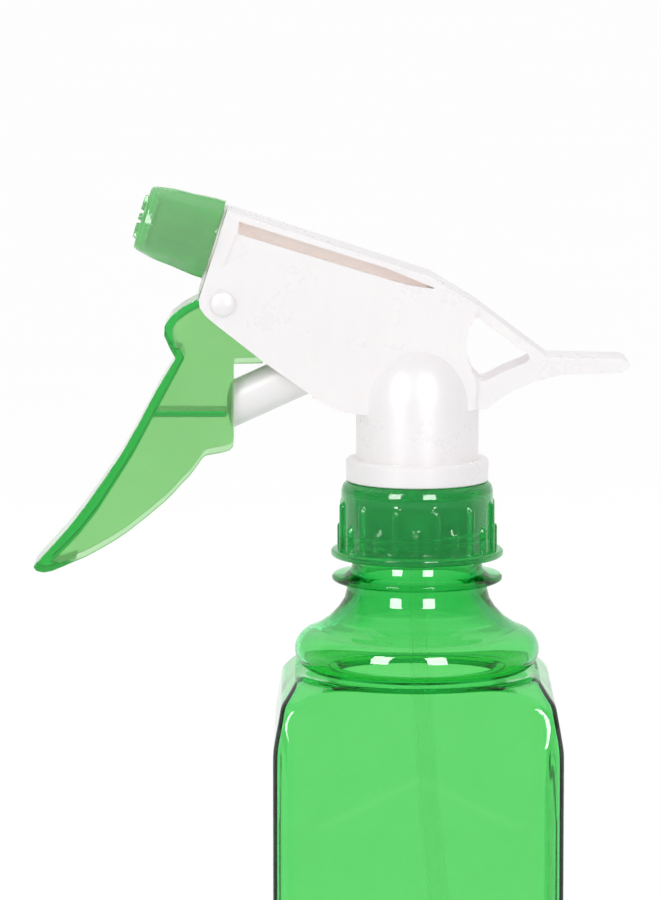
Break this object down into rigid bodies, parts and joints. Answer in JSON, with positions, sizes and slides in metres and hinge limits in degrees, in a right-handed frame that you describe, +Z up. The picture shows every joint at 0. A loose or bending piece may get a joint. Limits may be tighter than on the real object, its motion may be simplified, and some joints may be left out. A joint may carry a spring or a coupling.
{
  "type": "hand mister",
  "caption": "Hand mister: pistol-grip trigger pump with an adjustable nozzle, screwed by a ribbed closure onto a square transparent bottle with a ringed shoulder.",
  "frame": {"origin": "centre of the bottle's base, on the plane it stands on; the neck, closure and pump riser are on the Z axis", "axes": "+Z up, -X the way the nozzle and trigger point, +X towards the tail handle, +Y across the tool"},
  "size_m": [0.1149, 0.0556, 0.2061],
  "materials": {
    "clear_green_bottle": "transparent bright green PET, polished",
    "clear_green_closure": "translucent deeper green, polished",
    "clear_green_trigger": "translucent green, polished",
    "white_plastic": "white polypropylene, semi-gloss",
    "natural_plastic": "natural cream polypropylene",
    "soft_white": "soft white polyethylene",
    "tube_plastic": "clear polyethylene tube",
    "black_rubber": "moulded nitrile",
    "stainless": "stainless wire and balls"
  },
  "bodies": {
    "bottle": {"bottle": "clear_green_bottle"},
    "head": {"bottle_gasket": "soft_white", "tube_retainer": "natural_plastic", "dip_tube": "tube_plastic", "housing": "white_plastic", "valve_body": "natural_plastic", "discharge_plug": "natural_plastic", "piston_spring": "stainless", "trigger_pin": "white_plastic", "nozzle_ring": "natural_plastic", "nozzle_insert": "white_plastic", "outlet_spring": "stainless"},
    "closure": {"closure": "clear_green_closure"},
    "trigger": {"trigger": "clear_green_trigger"},
    "piston": {"piston": "white_plastic", "piston_seal": "black_rubber"},
    "nozzle_washer": {"nozzle_washer": "soft_white"},
    "nozzle_cap": {"nozzle_cap": "clear_green_closure"},
    "inlet_ball": {"inlet_ball": "stainless"},
    "outlet_ball": {"outlet_ball": "stainless"}
  },
  "joints": [
    {"name": "head_lift", "type": "slide", "parent": "bottle", "child": "head", "axis": [0, 0, 1], "range_m": [0, 0.00635]},
    {"name": "closure_turn", "type": "hinge", "parent": "head", "child": "closure", "pos_m": [0, 0, 0.141], "axis": [0, 0, 1], "range_deg": [0, 540]},
    {"name": "trigger_pull", "type": "hinge", "parent": "head", "child": "trigger", "pos_m": [-0.0375, 0, 0.1841], "axis": [0, -1, 0], "range_deg": [0, 25]},
    {"name": "piston_stroke", "type": "slide", "parent": "head", "child": "piston", "axis": [0.91, 0, 0.4147], "range_m": [0, 0.00961], "deforming": ["piston_spring"]},
    {"name": "nozzle_travel", "type": "slide", "parent": "head", "child": "nozzle_washer", "axis": [-0.9532, 0, 0.3024], "range_m": [0, 0.0024]},
    {"name": "nozzle_turn", "type": "hinge", "parent": "nozzle_washer", "child": "nozzle_cap", "pos_m": [-0.03975, 0, 0.19595], "axis": [-0.9532, 0, 0.3024], "range_deg": [0, 360]},
    {"name": "inlet_ball_lift", "type": "slide", "parent": "head", "child": "inlet_ball", "axis": [0, 0, 1], "range_m": [0, 0.0012]},
    {"name": "outlet_ball_lift", "type": "slide", "parent": "head", "child": "outlet_ball", "axis": [-0.9532, 0, 0.3024], "range_m": [0, 0.001], "deforming": ["outlet_spring"]}
  ],
  "couplings": [
    {"joint": "closure_turn", "follows": "head_lift", "rad_per_m": 1484.3},
    {"joint": "piston_stroke", "follows": "trigger_pull", "m_per_rad": 0.022002},
    {"joint": "nozzle_turn", "follows": "nozzle_travel", "rad_per_m": 2618}
  ]
}
